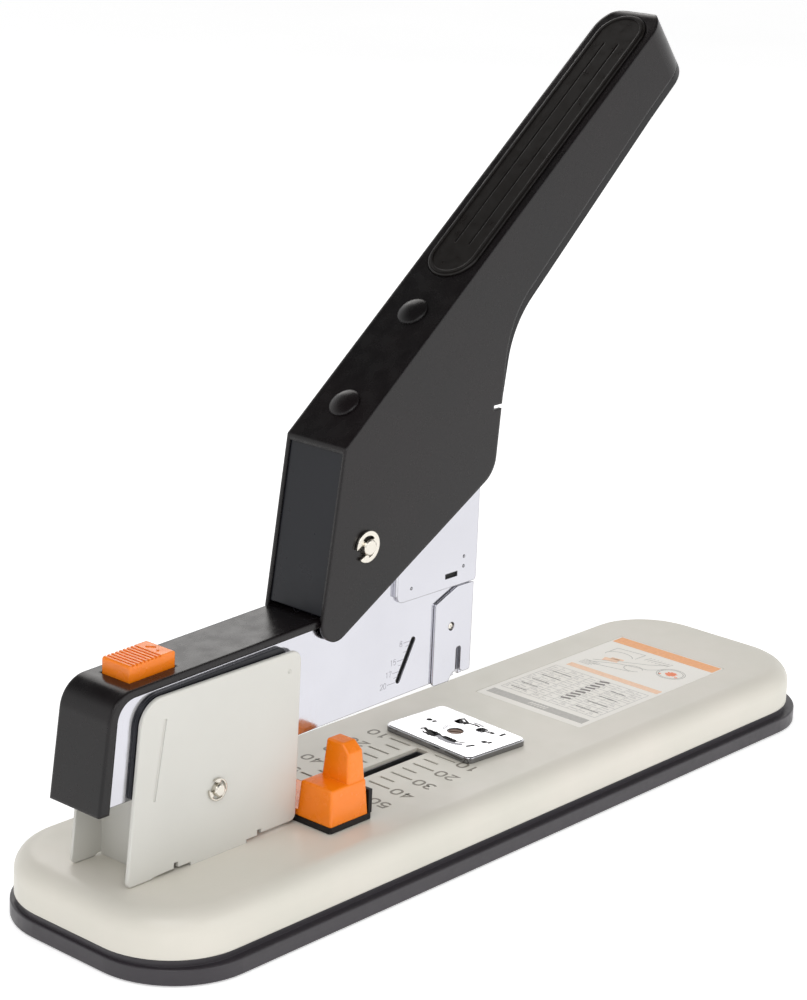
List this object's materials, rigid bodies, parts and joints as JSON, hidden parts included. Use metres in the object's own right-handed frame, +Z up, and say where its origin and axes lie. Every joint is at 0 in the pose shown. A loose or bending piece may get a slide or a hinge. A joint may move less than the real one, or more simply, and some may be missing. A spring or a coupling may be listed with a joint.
{
  "type": "heavy-duty desktop stapler",
  "caption": "Long-base lever stapler: hinged magazine arm with a tall folding handle, sliding depth stop on an engraved scale and a turning clinch plate.",
  "frame": {"origin": "centre of the base at the bottom of its rubber feet", "axes": "+X to the front end of the base with the instruction card, +Z up, the arm hinges at the rear (-X) and tilts about Y"},
  "size_m": [0.3086, 0.0814, 0.2399],
  "materials": {
    "tray_plastic": "fine moulded texture, satin",
    "foot_rubber": "matt",
    "base_paint": "warm light grey, satin powder coat",
    "plain_steel": "zinc plated",
    "chrome": "polished plating",
    "label": "printed card, satin",
    "orange_plastic": "moulded, soft gloss",
    "black_plastic": "moulded",
    "black_paint": "satin black",
    "dark_paint": "dark grey",
    "grip": "fine grained",
    "spring_steel": "drawn wire",
    "staple_wire": "galvanised wire"
  },
  "bodies": {
    "base": {"base_tray": "tray_plastic", "rubber_feet": "foot_rubber", "base_cover": "base_paint", "base_plate": "plain_steel", "base_screws": "plain_steel", "label_card": "label", "anvil_bush": "plain_steel", "anvil_spring": "spring_steel", "guard_bracket": "base_paint", "hinge_pin": "chrome", "hinge_clips": "chrome", "arm_return_spring": "spring_steel"},
    "anvil": {"anvil_plate": "chrome", "anvil_screw": "plain_steel", "anvil_nut": "plain_steel"},
    "stop": {"depth_stop_base": "black_plastic", "depth_stop": "orange_plastic", "depth_stop_clip": "plain_steel"},
    "arm": {"magazine_housing": "chrome", "top_cover": "black_paint", "head_plate": "chrome", "arm_cheek_left": "dark_paint", "arm_cheek_right": "dark_paint", "latch_bracket": "plain_steel", "button_spring": "spring_steel", "pivot_pin": "chrome", "pivot_clips": "chrome", "pivot_washers": "plain_steel", "handle_spring": "spring_steel"},
    "tray": {"magazine_tray": "plain_steel", "tray_front_block": "plain_steel", "nose_plate": "chrome", "staple_strip": "staple_wire", "guide_rod": "plain_steel", "pusher_spring": "spring_steel"},
    "pusher": {"staple_pusher": "black_plastic"},
    "button": {"release_button": "orange_plastic", "latch_plate": "plain_steel"},
    "driver": {"driver_blade": "plain_steel"},
    "handle": {"handle_shell": "black_paint", "handle_under_cover": "black_plastic", "handle_inner_plate": "black_paint", "handle_rivets": "black_paint", "grip_pad": "grip", "push_lever": "plain_steel", "link_pin": "plain_steel"}
  },
  "joints": [
    {"name": "arm_tilt", "type": "hinge", "parent": "base", "child": "arm", "pos_m": [-0.1105, 0, 0.04], "axis": [0, 1, 0], "range_deg": [0, 12], "stiffness_Nm_per_rad": 4, "springref_deg": -28.65, "deforming": ["arm_return_spring"]},
    {"name": "handle_pivot", "type": "hinge", "parent": "arm", "child": "handle", "pos_m": [-0.0521, 0, 0.0977], "axis": [0, 1, 0], "range_deg": [0, 31], "stiffness_Nm_per_rad": 1.6, "springref_deg": -22.92, "deforming": ["handle_spring"]},
    {"name": "driver_slide", "type": "slide", "parent": "arm", "child": "driver", "axis": [0, 0, -1], "range_m": [0, 0.0231]},
    {"name": "tray_slide", "type": "slide", "parent": "arm", "child": "tray", "axis": [-0.9998, 0, -0.0175], "range_m": [-0.06, 0]},
    {"name": "pusher_slide", "type": "slide", "parent": "tray", "child": "pusher", "axis": [0.9998, 0, 0.0175], "range_m": [-0.054, 0], "stiffness_N_per_m": 30, "springref_m": 0.02, "deforming": ["pusher_spring"]},
    {"name": "button_press", "type": "slide", "parent": "arm", "child": "button", "axis": [0, 0, -1], "range_m": [0, 0.0025], "stiffness_N_per_m": 600, "springref_m": -0.001, "deforming": ["button_spring"]},
    {"name": "stop_slide", "type": "slide", "parent": "base", "child": "stop", "axis": [1, 0, 0], "range_m": [0, 0.049]},
    {"name": "anvil_turn", "type": "hinge", "parent": "base", "child": "anvil", "pos_m": [0.0055, 0, 0.02], "axis": [0, 0, 1], "range_deg": [0, 180]}
  ],
  "couplings": [
    {"joint": "driver_slide", "follows": "handle_pivot", "m_per_rad": 0.0425}
  ]
}
